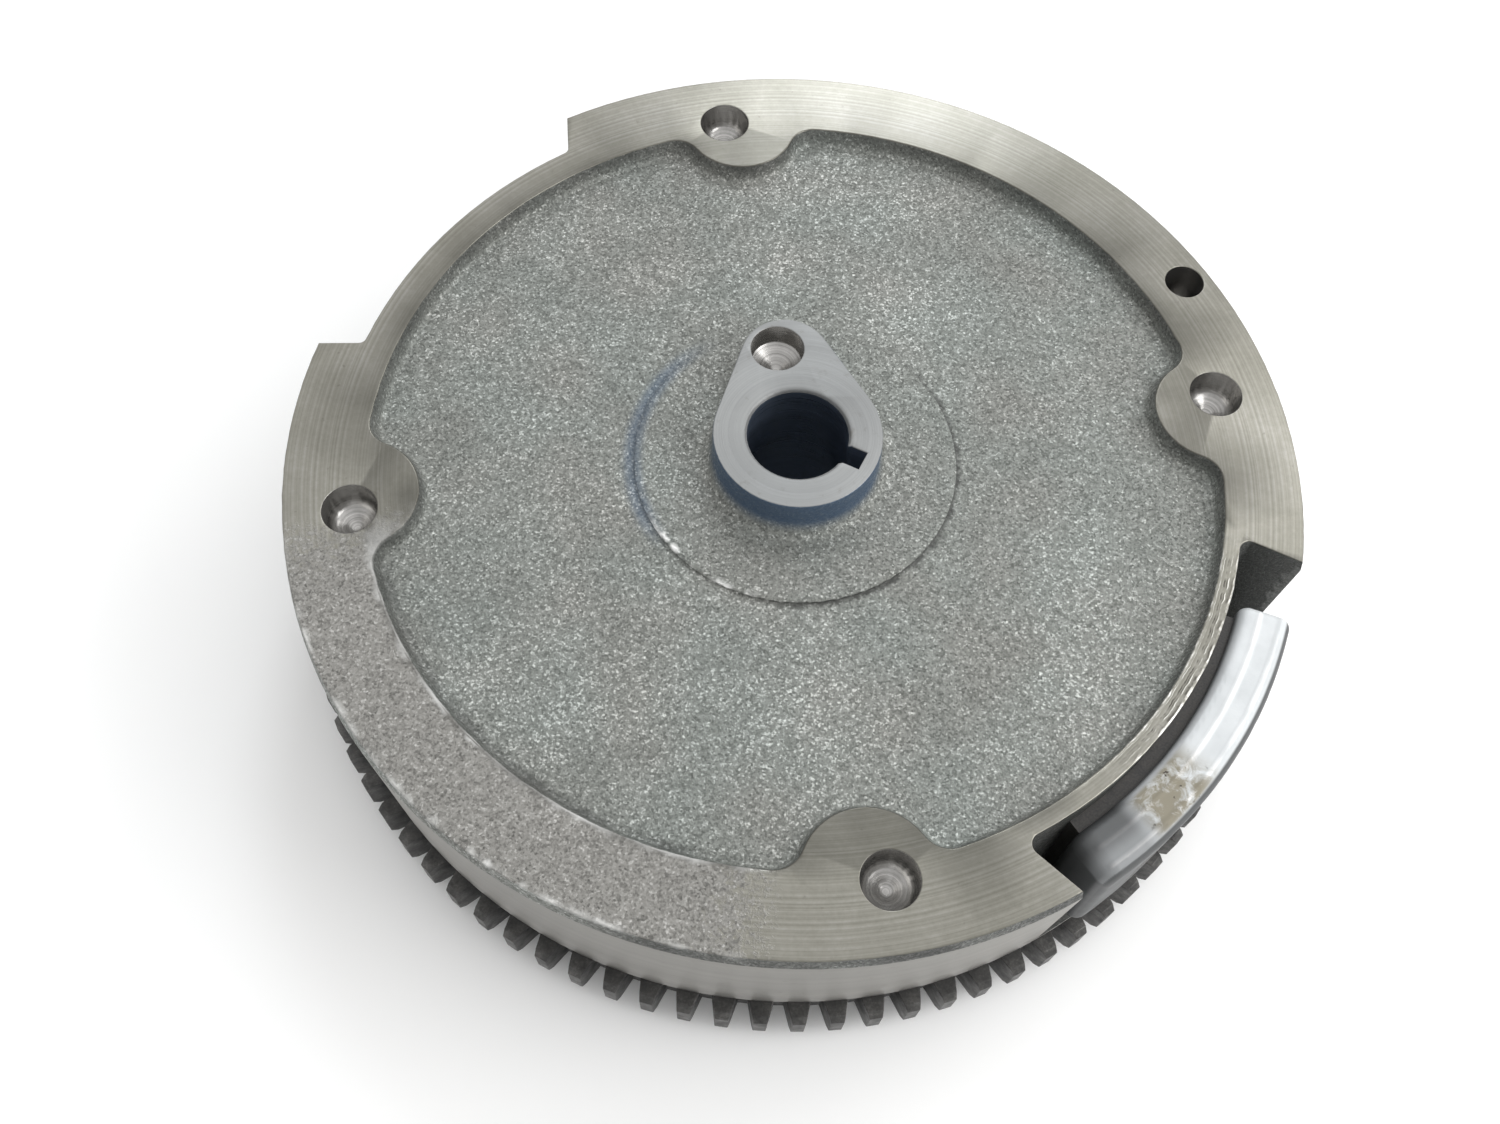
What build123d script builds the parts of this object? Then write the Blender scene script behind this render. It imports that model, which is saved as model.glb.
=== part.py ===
from build123d import *
import os
from math import cos, degrees, radians, sin, tan

# Flywheel of a small petrol engine with an electric starter, fan side up.
# The frame: +Z along the crankshaft towards the fan, the origin on the bore's axis at the
# engine-side face that the flywheel rests on. Angles are in degrees, anticlockwise from +X as
# seen from the fan side. Lengths are in millimetres.

# --- driving dimensions -------------------------------------------------------------------------

# Rim
RIM_R = 98.5                # turned outside, at its widest
RIM_TOP = 50.0              # height of the fan-side face
RIM_EDGE_R = 97.9           # outer edge of that face, left as cast
RIM_EDGE_DEPTH = 3.0        # height of the as-cast edge band
RIM_FOOT_R = 97.3           # outside where the rim meets the ring gear

# Recess in the fan side, and the web below it
RECESS_R = 83.0
RECESS_DEPTH = 3.5
RECESS_DRAFT = 20.0
RECESS_CORNER_R = 5.5       # concave corners between the lobes and the recess's wall
RECESS_FLOOR_FILLET = 1.2
RECESS_FLOOR = RIM_TOP - RECESS_DEPTH
WEB_THICKNESS = 10.0

# Peg holes for the cooling fan, in lobes of the rim
PEG_PCD = 171.0
PEG_COUNT = 4
PEG_ANGLE = 13.0
PEG_HOLE_R = 5.2
PEG_DEPTH = 5.0             # full-diameter depth, above the drill's point
LOBE_R = 11.8
LOBE_CENTRE_R = 84.2
LOBE_LAG = 2.3              # each lobe sits this far clockwise of its hole
DRILL_POINT = 118.0         # included angle of a drill's point

# Balance drilling in the rim's face
DRILLING_R = 4.0
DRILLING_CENTRE_R = 92.2
DRILLING_ANGLE = 30.7
DRILLING_DEPTH = 14.0

# Hub
HUB_TOP = 55.85
HUB_R = 16.25
HUB_LOBE_R = 8.7            # teardrop end, round the hub's own peg hole
HUB_LOBE_CENTRE_R = 18.1
HUB_LOBE_ANGLE = 100.0
HUB_PEG_CENTRE_R = 20.0
HUB_PEG_ANGLE = 104.0
HUB_FOOT_FILLET = 3.2
PAD_R = 31.5                # thin round step about the hub
PAD_HEIGHT = 0.6
HUB_FOOT = 2.5              # engine-side end of the hub, just inside the rest face
BOSS_R = 20.0               # engine-side boss at its end
BOSS_ROOT_R = 22.0          # and where it meets the web
BOSS_FILLET = 5.0

# Crankshaft taper, with its small end at the hub's top
TAPER_SMALL_R = 9.75
TAPER_RATIO = 1 / 8         # of diameter to length
BORE_CHAMFER = 0.8          # at the hub's top
KEYWAY_ANGLE = -22.9
KEYWAY_WIDTH = 4.0
KEYWAY_DEPTH = 3.8          # beyond the taper's wall

# Ring gear
TEETH = 88
MODULE = 2.25
TIP_R = MODULE * (TEETH / 2 + 1)
ROOT_R = MODULE * (TEETH / 2 - 1.25)
TOOTH_TIP_WIDTH = 2.5
TOOTH_ROOT_WIDTH = 5.2
TOOTH_SINK = MODULE / 4     # the flanks run this far below the root circle
TOOTH_ANGLE = -90.2         # centre of one tooth
TOOTH_END_CHAMFER = 1.1
GEAR_BORE_R = 92.0
GEAR_BORE_CHAMFER = 0.5
GEAR_FOOT = 3.0
GEAR_WIDTH = 9.5
GEAR_TOP = GEAR_FOOT + GEAR_WIDTH
BLANK_MARGIN = 1.0          # of the turned outline outside the teeth

# Engine-side cup, which holds the charging magnets
CUP_R = 79.0
CUP_FILLET = 4.0
CUP_TOP = RECESS_FLOOR - WEB_THICKNESS
CUP_MOUTH_CHAMFER = 1.2
SEAT_CHAMFER = 0.8          # lead-in for the ring gear

# Notch for the ignition magnet, and the balance relief opposite it. Each is bounded by a wall at
# its own radius and by two ends, whose angles are given at that wall and at the rim's outside.
NOTCH_R = 86.1
NOTCH_AT_WALL = (-61.0, -8.9)
NOTCH_AT_RIM = (-58.1, -10.6)
NOTCH_CORNER_R = 2.0
RELIEF_R = 89.3
RELIEF_AT_WALL = (126.0, 167.9)
RELIEF_AT_RIM = (123.2, 169.5)
RELIEF_CORNER_R = 1.5
SHELF = 2.0                 # rim left standing above the ring gear in both
CUT_REACH = 1.6             # length of a cut's ends, as a share of what lies inside the rim

# Ignition magnet unit, bonded to the notch's wall
BOND = 2.6                  # thickness of the adhesive
BOND_MARGIN = 2.4           # how far the adhesive stops short of the unit's edges
UNIT_R = 98.9
UNIT_START = -55.0
UNIT_END = -16.4
UNIT_TOP = 46.0
UNIT_FOOT = 19.0
UNIT_END_R = 4.0            # rounding of the trailing end's top edge
UNIT_CORNER_R = 2.2         # of the ends in plan
UNIT_EDGE_R = 1.6           # and of the other edges
POLE_ANGLES = {"leading": -26.5, "trailing": -44.5}
POLE_SPAN = 9.0
POLE_HEIGHT = 13.0
POLE_DEPTH = 6.0
LAMINATIONS = 13
GROOVE_WIDTH = 0.2          # step between two laminations on the pole's face
GROOVE_DEPTH = 0.15
RIVET_R = 1.2
RIVET_CENTRE_R = UNIT_R - POLE_DEPTH / 2
RIVET_SPREAD = 5.0          # angle between a pole's two rivets
MAGNET_COVER = 1.2          # wall of the unit outside its magnet

# Charging magnets, round the inside of the cup
CHARGING_COUNT = 12
CHARGING_SPAN = 25.0
CHARGING_INNER_R = 71.5
CHARGING_FOOT = 7.0
CHARGING_HEIGHT = 22.0
CHARGING_CHAMFER = 0.8
SPACER_BAND = 2.4           # height of the spacer ring's band above the magnets
SPACER_INNER_R = 72.5
SPACER_CLEARANCE = 0.2      # to the cup's wall and to the magnets beside each finger
FINGER_FOOT = 9.0

OVERRUN = 5.0               # how far a cutting tool runs past a face

CENTRED_UP = (Align.CENTER, Align.CENTER, Align.MIN)
CENTRED_DOWN = (Align.CENTER, Align.CENTER, Align.MAX)


# --- helpers ------------------------------------------------------------------------------------

def polar(radius, angle):
    """The point at a radius and an angle."""
    return Vector(radius * cos(radians(angle)), radius * sin(radians(angle)))


def taper_radius(height):
    """The crankshaft taper's radius at a height."""
    return TAPER_SMALL_R + (HUB_TOP - height) * TAPER_RATIO / 2


def sector(inner, outer, start, end):
    """Draws an annular sector inside a BuildSketch block."""
    middle = (start + end) / 2
    with BuildLine() as outline:
        ThreePointArc(polar(outer, start), polar(outer, middle), polar(outer, end))
        Line(polar(outer, end), polar(inner, end))
        ThreePointArc(polar(inner, end), polar(inner, middle), polar(inner, start))
        Line(polar(inner, start), polar(outer, start))
    return make_face(outline.edges())


def rim_cut(wall_radius, at_wall, at_rim, corner):
    """Draws a cut into the rim, open to the outside, inside a BuildSketch block."""
    wall = [polar(wall_radius, angle) for angle in at_wall]
    rim = [polar(RIM_R, angle) for angle in at_rim]
    beyond = [inside + (outside - inside) * CUT_REACH for inside, outside in zip(wall, rim)]
    middle = sum(at_wall) / 2
    outermost = polar(RIM_R + 2 * OVERRUN, middle)
    with BuildLine() as outline:
        ThreePointArc(wall[0], polar(wall_radius, middle), wall[1])
        Line(wall[1], beyond[1])
        ThreePointArc(beyond[1], outermost, beyond[0])
        Line(beyond[0], wall[0])
    corners = make_face(outline.edges()).vertices()
    fillet(corners.sort_by(lambda vertex: Vector(*vertex).length)[:2], corner)


def drill(radius, depth):
    """Drills a blind hole with its point down from each current location, in a BuildPart block."""
    Cylinder(radius, depth, align=CENTRED_DOWN, mode=Mode.SUBTRACT)
    with Locations((0, 0, -depth)):
        point = radius / tan(radians(DRILL_POINT / 2))
        Cone(0, radius, point, align=CENTRED_DOWN, mode=Mode.SUBTRACT)


def rivet_places(angle):
    """The two rivets of the pole shoe that stands at an angle."""
    return PolarLocations(RIVET_CENTRE_R, 2, angle - RIVET_SPREAD / 2, 2 * RIVET_SPREAD)


def save(builder, name):
    """Labels a finished piece and writes its STEP file."""
    builder.part.label = name
    export_step(builder.part, f"parts/{name}.step")


# --- flywheel casting ---------------------------------------------------------------------------

os.makedirs("parts", exist_ok=True)

with BuildPart() as flywheel_casting:
    # Rim, web and engine-side boss, turned about the crankshaft's axis
    with BuildSketch(Plane.XZ):
        with BuildLine():
            Polyline(
                (0, HUB_FOOT),
                (BOSS_R, HUB_FOOT),
                (BOSS_ROOT_R, CUP_TOP),
                (CUP_R, CUP_TOP),
                (CUP_R, 0),
                (GEAR_BORE_R, 0),
                (GEAR_BORE_R, GEAR_TOP),
                (RIM_FOOT_R, GEAR_TOP),
                (RIM_R, RIM_TOP - RIM_EDGE_DEPTH),
                (RIM_EDGE_R, RIM_TOP),
                (0, RIM_TOP),
                close=True,
            )
        profile = make_face()
        corners = profile.vertices()
        fillet(corners.sort_by_distance((BOSS_ROOT_R, CUP_TOP))[0], BOSS_FILLET)
        fillet(corners.sort_by_distance((CUP_R, CUP_TOP))[0], CUP_FILLET)
        chamfer(corners.sort_by_distance((CUP_R, 0))[0], CUP_MOUTH_CHAMFER)
        chamfer(corners.sort_by_distance((GEAR_BORE_R, 0))[0], SEAT_CHAMFER)
    revolve(axis=Axis.Z)

    # Recess in the fan side, with the lobes left standing round the peg holes
    with BuildSketch(Plane.XY.offset(RIM_TOP)) as recess:
        Circle(RECESS_R)
        with PolarLocations(LOBE_CENTRE_R, PEG_COUNT, start_angle=PEG_ANGLE - LOBE_LAG):
            Circle(LOBE_R, mode=Mode.SUBTRACT)
        fillet(recess.vertices(), RECESS_CORNER_R)
    extrude(amount=-RECESS_DEPTH, taper=RECESS_DRAFT, mode=Mode.SUBTRACT)
    recess_floor = flywheel_casting.faces().filter_by(Plane.XY).filter_by_position(
        Axis.Z, RECESS_FLOOR, RECESS_FLOOR
    )
    fillet(recess_floor.edges(), RECESS_FLOOR_FILLET)

    # Hub: a thin round pad, and a teardrop that carries its own peg hole
    with BuildSketch(Plane.XY.offset(RECESS_FLOOR)):
        Circle(PAD_R)
    extrude(amount=PAD_HEIGHT)
    with BuildSketch(Plane.XY.offset(RECESS_FLOOR)):
        Circle(HUB_R)
        with Locations(polar(HUB_LOBE_CENTRE_R, HUB_LOBE_ANGLE)):
            Circle(HUB_LOBE_R)
        make_hull()
    extrude(amount=HUB_TOP - RECESS_FLOOR)
    pad_top = RECESS_FLOOR + PAD_HEIGHT
    on_pad = flywheel_casting.edges().filter_by_position(Axis.Z, pad_top, pad_top)
    hub_foot = on_pad.sort_by(SortBy.LENGTH)[:-1]
    fillet(hub_foot, HUB_FOOT_FILLET)

    # Crankshaft taper and its keyway
    bore_ends = (HUB_FOOT - OVERRUN, HUB_TOP + OVERRUN)
    with Locations((0, 0, bore_ends[0])):
        Cone(
            taper_radius(bore_ends[0]),
            taper_radius(bore_ends[1]),
            bore_ends[1] - bore_ends[0],
            align=CENTRED_UP,
            mode=Mode.SUBTRACT,
        )
    with Locations((0, 0, HUB_TOP)):
        Cone(
            TAPER_SMALL_R,
            TAPER_SMALL_R + BORE_CHAMFER,
            BORE_CHAMFER,
            align=CENTRED_DOWN,
            mode=Mode.SUBTRACT,
        )
    for height in bore_ends:
        with BuildSketch(Plane.XY.offset(height).rotated((0, 0, KEYWAY_ANGLE))):
            Rectangle(
                taper_radius(height) + KEYWAY_DEPTH,
                KEYWAY_WIDTH,
                align=(Align.MIN, Align.CENTER),
            )
    loft(mode=Mode.SUBTRACT)

    # Peg holes for the fan, and the balance drilling
    with Locations((0, 0, RIM_TOP)):
        with PolarLocations(PEG_PCD / 2, PEG_COUNT, start_angle=PEG_ANGLE):
            drill(PEG_HOLE_R, PEG_DEPTH)
        with PolarLocations(DRILLING_CENTRE_R, 1, start_angle=DRILLING_ANGLE):
            drill(DRILLING_R, DRILLING_DEPTH)
    with Locations((0, 0, HUB_TOP)):
        with PolarLocations(HUB_PEG_CENTRE_R, 1, start_angle=HUB_PEG_ANGLE):
            drill(PEG_HOLE_R, PEG_DEPTH)

    # Notch for the ignition magnet, and the balance relief
    with BuildSketch(Plane.XY.offset(GEAR_TOP + SHELF)):
        rim_cut(NOTCH_R, NOTCH_AT_WALL, NOTCH_AT_RIM, NOTCH_CORNER_R)
    extrude(amount=RIM_TOP, mode=Mode.SUBTRACT)
    with BuildSketch(Plane.XY.offset(GEAR_TOP + SHELF)):
        rim_cut(RELIEF_R, RELIEF_AT_WALL, RELIEF_AT_RIM, RELIEF_CORNER_R)
    extrude(amount=RIM_TOP, mode=Mode.SUBTRACT)
save(flywheel_casting, "flywheel_casting")


# --- ring gear ----------------------------------------------------------------------------------

with BuildPart() as ring_gear:
    tooth = [
        (ROOT_R - TOOTH_SINK, TOOTH_ROOT_WIDTH / 2),
        (TIP_R, TOOTH_TIP_WIDTH / 2),
        (TIP_R, -TOOTH_TIP_WIDTH / 2),
        (ROOT_R - TOOTH_SINK, -TOOTH_ROOT_WIDTH / 2),
    ]
    with BuildSketch(Plane.XY.offset(GEAR_FOOT)):
        Circle(ROOT_R)
        with PolarLocations(0, TEETH, start_angle=TOOTH_ANGLE):
            Polygon(*tooth, align=None)
        Circle(GEAR_BORE_R, mode=Mode.SUBTRACT)
    extrude(amount=GEAR_WIDTH)
    # Both ends of the teeth are chamfered, for the starter's pinion to slide into mesh
    blank_r = TIP_R + BLANK_MARGIN
    with BuildSketch(Plane.XZ):
        with Locations(((GEAR_BORE_R + blank_r) / 2, (GEAR_FOOT + GEAR_TOP) / 2)):
            ring = Rectangle(blank_r - GEAR_BORE_R, GEAR_WIDTH)
        outer = ring.vertices().group_by(Axis.X)[-1]
        inner = ring.vertices().group_by(Axis.X)[0]
        chamfer(outer, TOOTH_END_CHAMFER + BLANK_MARGIN)
        chamfer(inner, GEAR_BORE_CHAMFER)
    revolve(axis=Axis.Z, mode=Mode.INTERSECT)
save(ring_gear, "ring_gear")


# --- ignition magnet unit -----------------------------------------------------------------------

UNIT_MIDDLE = (UNIT_TOP + UNIT_FOOT) / 2
UNIT_HEIGHT = UNIT_TOP - UNIT_FOOT
POLE_INNER_R = UNIT_R - POLE_DEPTH
POLE_FOOT = UNIT_MIDDLE - POLE_HEIGHT / 2
LAMINATION = POLE_HEIGHT / LAMINATIONS
MAGNET_SPAN = (
    POLE_ANGLES["trailing"] + POLE_SPAN / 2,
    POLE_ANGLES["leading"] - POLE_SPAN / 2,
)

with BuildPart() as magnet_bond_layer:
    margin = degrees(BOND_MARGIN / NOTCH_R)
    with BuildSketch(Plane.XY.offset(UNIT_FOOT + BOND_MARGIN)):
        sector(NOTCH_R, NOTCH_R + BOND, UNIT_START + margin, UNIT_END - margin)
    extrude(amount=UNIT_HEIGHT - 2 * BOND_MARGIN)
save(magnet_bond_layer, "magnet_bond_layer")

# The die-cast body: an arc block with rounded ends and edges. Its pocket holds the magnet and both
# pole shoes, and opens to the outside only at the two pole faces.
with BuildPart() as ignition_magnet_body:
    with BuildSketch(Plane.XY.offset(UNIT_FOOT)):
        sector(NOTCH_R + BOND, UNIT_R, UNIT_START, UNIT_END)
    extrude(amount=UNIT_HEIGHT)
    end_edges = ignition_magnet_body.faces().sort_by(Axis.Z)[-1].edges().filter_by(GeomType.LINE)
    fillet(end_edges.sort_by(Axis.Y)[0], UNIT_END_R)
    fillet(ignition_magnet_body.edges().filter_by(Axis.Z), UNIT_CORNER_R)
    rims = ignition_magnet_body.faces().filter_by(Plane.XY).edges()
    fillet(rims, UNIT_EDGE_R)
    with BuildSketch(Plane.XY.offset(POLE_FOOT)):
        sector(POLE_INNER_R, UNIT_R - MAGNET_COVER, *MAGNET_SPAN)
        for angle in POLE_ANGLES.values():
            sector(POLE_INNER_R, UNIT_R + OVERRUN, angle - POLE_SPAN / 2, angle + POLE_SPAN / 2)
    extrude(amount=POLE_HEIGHT, mode=Mode.SUBTRACT)
save(ignition_magnet_body, "ignition_magnet_body")

with BuildPart() as ignition_magnet:
    with BuildSketch(Plane.XY.offset(POLE_FOOT)):
        sector(POLE_INNER_R, UNIT_R - MAGNET_COVER, *MAGNET_SPAN)
    extrude(amount=POLE_HEIGHT)
save(ignition_magnet, "ignition_magnet")

# The two laminated pole shoes, each held together by two rivets
for side, angle in POLE_ANGLES.items():
    with BuildPart() as pole_shoe:
        with BuildSketch(Plane.XY.offset(POLE_FOOT)):
            sector(POLE_INNER_R, UNIT_R, angle - POLE_SPAN / 2, angle + POLE_SPAN / 2)
        extrude(amount=POLE_HEIGHT)
        with BuildSketch(Plane.XZ):
            for step in range(1, LAMINATIONS):
                with Locations((UNIT_R, POLE_FOOT + step * LAMINATION)):
                    Rectangle(2 * GROOVE_DEPTH, GROOVE_WIDTH)
        revolve(axis=Axis.Z, mode=Mode.SUBTRACT)
        with Locations((0, 0, POLE_FOOT)):
            with rivet_places(angle):
                Cylinder(RIVET_R, POLE_HEIGHT, align=CENTRED_UP, mode=Mode.SUBTRACT)
    save(pole_shoe, f"pole_shoe_{side}")

with BuildPart() as pole_shoe_rivets:
    with Locations((0, 0, POLE_FOOT)):
        for angle in POLE_ANGLES.values():
            with rivet_places(angle):
                Cylinder(RIVET_R, POLE_HEIGHT, align=CENTRED_UP)
save(pole_shoe_rivets, "pole_shoe_rivets")


# --- charging magnets ---------------------------------------------------------------------------

CHARGING_PITCH = 360 / CHARGING_COUNT
CHARGING_TOP = CHARGING_FOOT + CHARGING_HEIGHT
SPACER_R = CUP_R - SPACER_CLEARANCE

for number in range(CHARGING_COUNT):
    start = number * CHARGING_PITCH - CHARGING_SPAN / 2
    with BuildPart() as charging_magnet:
        with BuildSketch(Plane.XY.offset(CHARGING_FOOT)):
            sector(CHARGING_INNER_R, CUP_R, start, start + CHARGING_SPAN)
        extrude(amount=CHARGING_HEIGHT)
        uprights = charging_magnet.edges().filter_by(Axis.Z).sort_by(SortBy.DISTANCE)
        chamfer(uprights[:2], CHARGING_CHAMFER)
    save(charging_magnet, f"charging_magnet_{number + 1:02d}")

# A band above the magnets, with a finger down between each two
with BuildPart() as magnet_spacer_ring:
    with BuildSketch(Plane.XY.offset(CHARGING_TOP)):
        Circle(SPACER_R)
        Circle(SPACER_INNER_R, mode=Mode.SUBTRACT)
    extrude(amount=SPACER_BAND)
    clearance = degrees(SPACER_CLEARANCE / CUP_R)
    half_gap = (CHARGING_PITCH - CHARGING_SPAN) / 2 - clearance
    with BuildSketch(Plane.XY.offset(FINGER_FOOT)):
        for number in range(CHARGING_COUNT):
            middle = (number + 0.5) * CHARGING_PITCH
            sector(SPACER_INNER_R, SPACER_R, middle - half_gap, middle + half_gap)
    extrude(amount=CHARGING_TOP - FINGER_FOOT)
save(magnet_spacer_ring, "magnet_spacer_ring")
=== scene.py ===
"""Looks of the flywheel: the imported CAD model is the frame, and every piece stands where it says."""

import random
from math import atan2, cos, degrees, hypot, radians, sin

import bmesh
import bpy
from mathutils import Matrix, Vector, kdtree, noise
from mathutils.bvhtree import BVHTree
from mathutils.geometry import delaunay_2d_cdt


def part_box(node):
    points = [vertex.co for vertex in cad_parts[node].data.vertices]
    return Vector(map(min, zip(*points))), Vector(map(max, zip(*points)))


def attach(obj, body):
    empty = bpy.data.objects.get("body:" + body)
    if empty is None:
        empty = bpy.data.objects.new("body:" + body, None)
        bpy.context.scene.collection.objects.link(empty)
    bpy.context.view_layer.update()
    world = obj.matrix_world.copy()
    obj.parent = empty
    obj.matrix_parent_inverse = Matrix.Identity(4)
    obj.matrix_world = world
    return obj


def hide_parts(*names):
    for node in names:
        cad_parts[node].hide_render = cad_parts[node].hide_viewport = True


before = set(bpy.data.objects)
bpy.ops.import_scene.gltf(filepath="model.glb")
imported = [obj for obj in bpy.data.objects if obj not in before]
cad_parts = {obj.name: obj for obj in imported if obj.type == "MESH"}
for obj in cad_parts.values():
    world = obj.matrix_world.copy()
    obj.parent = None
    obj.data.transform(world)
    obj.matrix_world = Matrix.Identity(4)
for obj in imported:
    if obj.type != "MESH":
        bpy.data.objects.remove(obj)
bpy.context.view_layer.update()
MM = 0.001

# Heights and radii of the casting, as the CAD has them
RIM_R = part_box("flywheel_casting")[1].x
HUB_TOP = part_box("flywheel_casting")[1].z
GEAR_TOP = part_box("ring_gear")[1].z
RIM_TOP = 50.0 * MM
RIM_EDGE = 47.0 * MM            # below this the rim's side is turned, above it as cast
RECESS_FLOOR = 46.5 * MM
PAD_TOP = 47.1 * MM
PAD_R = 31.5 * MM
RECESS_R = 83.0 * MM
CUP_TOP = 36.5 * MM
HUB_FOOT = 2.5 * MM
PEG_R = 5.2 * MM
PEG_CENTRES = [(85.5 * MM, 13 + 90 * turn) for turn in range(4)]
HUB_PEG_CENTRE = (20.0 * MM, 104.0)
DRILLING_CENTRE = (92.2 * MM, 30.7)
DRILLING_R = 4.0 * MM
HOLE_MARGIN = 0.02 * MM

# Circles that tell parts of the casting apart
BORE_REACH_R = 14.0 * MM        # holds the bore and its keyway
MID_RECESS_R = 60.0 * MM        # the hub and pad are inside it, the rim and its lobes outside
LOBE_INNER_R = 70.0 * MM        # the rim's lobes stay outside it
NOTCH_INNER_R = 84.0 * MM       # just inside the wall of the ignition magnet's notch
NOTCH_WALL_R = 86.3 * MM        # just outside that wall
RIM_SIDE_R = 97.0 * MM          # the rim's outer edge and side are outside it

# Angles are in degrees anticlockwise from +X
NOTCH_ENDS = (300.5, 350.5)
NOTCH_END_WALLS = (296, 356)
RIDGE_RADII = (92.7 * MM, 96.6 * MM)

# The stretch of the rim's face that was never machined
ROUGH_START, ROUGH_END = 206.0, 258.0
ROUGH_FADE = 15.0

SMOOTH_BELOW = radians(38)      # edges turned by less than this are shaded round
JITTER = 0.28                   # of a lattice's spacing
CLEAR_OF_BORDER = 0.55          # of a lattice's spacing
SPLIT_ROUNDS = 8


# --- small helpers ------------------------------------------------------------------------------

def polar(radius, angle):
    return Vector((radius * cos(radians(angle)), radius * sin(radians(angle)), 0))


def angle_of(point):
    """Degrees anticlockwise from +X, from 0 to 360."""
    return degrees(atan2(point.y, point.x)) % 360


def radius_of(point):
    return hypot(point.x, point.y)


def smooth(low, high, value):
    """0 at low, 1 at high, and a smooth step between them."""
    share = min(max((value - low) / (high - low), 0.0), 1.0)
    return share * share * (3 - 2 * share)


def roughness_of_rim(point):
    """1 on the as-cast stretch of the rim's face, 0 where it was machined."""
    angle = angle_of(point)
    return smooth(ROUGH_START - ROUGH_FADE, ROUGH_START, angle) * (
        1 - smooth(ROUGH_END, ROUGH_END + ROUGH_FADE, angle)
    )


# --- node helpers -------------------------------------------------------------------------------

class Nodes:
    """A short way to build a material's node tree."""

    def __init__(self, name):
        self.material = bpy.data.materials.new(name)
        self.material.use_nodes = True
        self.tree = self.material.node_tree
        self.tree.nodes.clear()
        output = self.tree.nodes.new("ShaderNodeOutputMaterial")
        self.shader = self.tree.nodes.new("ShaderNodeBsdfPrincipled")
        self.join(self.shader.outputs["BSDF"], output.inputs["Surface"])
        self.place = self.tree.nodes.new("ShaderNodeTexCoord").outputs["Object"]

    def join(self, source, target):
        self.tree.links.new(source, target)

    def add(self, kind, inputs=(), **settings):
        """A node with its settings; inputs are values or sockets, by name or number."""
        node = self.tree.nodes.new(kind)
        for key, value in settings.items():
            setattr(node, key, value)
        for key, value in dict(inputs).items():
            self.feed(node.inputs[key], value)
        return node

    def feed(self, socket, value):
        if isinstance(value, bpy.types.NodeSocket):
            self.join(value, socket)
        else:
            socket.default_value = value

    def noise(self, size_mm, detail=2.0, roughness=0.5, distortion=0.0):
        """Noise from 0 to 1 whose features are about size_mm across."""
        inputs = {
            "Vector": self.place,
            "Scale": 1000.0 / size_mm,
            "Detail": detail,
            "Roughness": roughness,
            "Distortion": distortion,
        }
        return self.add("ShaderNodeTexNoise", inputs).outputs["Fac"]

    def line_noise(self, along, size_mm, detail=2.0):
        """Noise that varies only with the value along, in metres."""
        inputs = {"W": along, "Scale": 1000.0 / size_mm, "Detail": detail}
        return self.add("ShaderNodeTexNoise", inputs, noise_dimensions="1D").outputs["Fac"]

    def cells(self, size_mm):
        """A random value from 0 to 1 for each cell of about size_mm."""
        inputs = {"Vector": self.place, "Scale": 1000.0 / size_mm}
        voronoi = self.add("ShaderNodeTexVoronoi", inputs)
        return self.add("ShaderNodeSeparateColor", {"Color": voronoi.outputs["Color"]}).outputs[0]

    def math(self, operation, first, second=0.0):
        return self.add("ShaderNodeMath", {0: first, 1: second}, operation=operation).outputs[0]

    def scaled(self, value, low, high, to_low=0.0, to_high=1.0):
        """value from low to high, carried to the range to_low to to_high and clamped."""
        inputs = {"Value": value, "From Min": low, "From Max": high, "To Min": to_low, "To Max": to_high}
        return self.add("ShaderNodeMapRange", inputs).outputs["Result"]

    def ramp(self, value, stops):
        """A colour for each place along value; stops are (place, (r, g, b))."""
        node = self.add("ShaderNodeValToRGB", {"Fac": value})
        elements = node.color_ramp.elements
        while len(elements) < len(stops):
            elements.new(0.5)
        for element, (place, colour) in zip(elements, stops):
            element.position = place
            element.color = (*colour, 1)
        return node.outputs["Color"]

    def mix(self, share, first, second):
        """Mixes two colours; share of the second."""
        node = self.add("ShaderNodeMix", data_type="RGBA")
        for socket, value in zip((node.inputs[0], node.inputs[6], node.inputs[7]), (share, first, second)):
            self.feed(socket, (*value, 1) if isinstance(value, tuple) else value)
        return node.outputs[2]

    def multiply(self, first, second):
        """Multiplies two colours."""
        node = self.add("ShaderNodeMix", data_type="RGBA", blend_type="MULTIPLY")
        for socket, value in zip((node.inputs[0], node.inputs[6], node.inputs[7]), (1.0, first, second)):
            self.feed(socket, value)
        return node.outputs[2]

    def attribute(self, name):
        return self.add("ShaderNodeAttribute", attribute_name=name).outputs["Fac"]

    def radius(self):
        """Distance from the crankshaft's axis, in metres."""
        flat = self.add("ShaderNodeVectorMath", {0: self.place, 1: (1, 1, 0)}, operation="MULTIPLY")
        return self.add("ShaderNodeVectorMath", {0: flat.outputs[0]}, operation="LENGTH").outputs["Value"]

    def height(self):
        return self.add("ShaderNodeSeparateXYZ", {0: self.place}).outputs["Z"]

    def bump(self, height, depth_mm, strength=1.0):
        inputs = {"Height": height, "Distance": depth_mm * MM, "Strength": strength}
        return self.add("ShaderNodeBump", inputs).outputs["Normal"]

    def finish(self, **inputs):
        """Sets the shader's sockets: base_color, roughness, and so on."""
        for key, value in inputs.items():
            socket = self.shader.inputs[key.replace("_", " ").title().replace("Ior", "IOR")]
            self.feed(socket, (*value, 1) if isinstance(value, tuple) and len(value) == 3 else value)
        return self.material


# --- materials ----------------------------------------------------------------------------------

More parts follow.
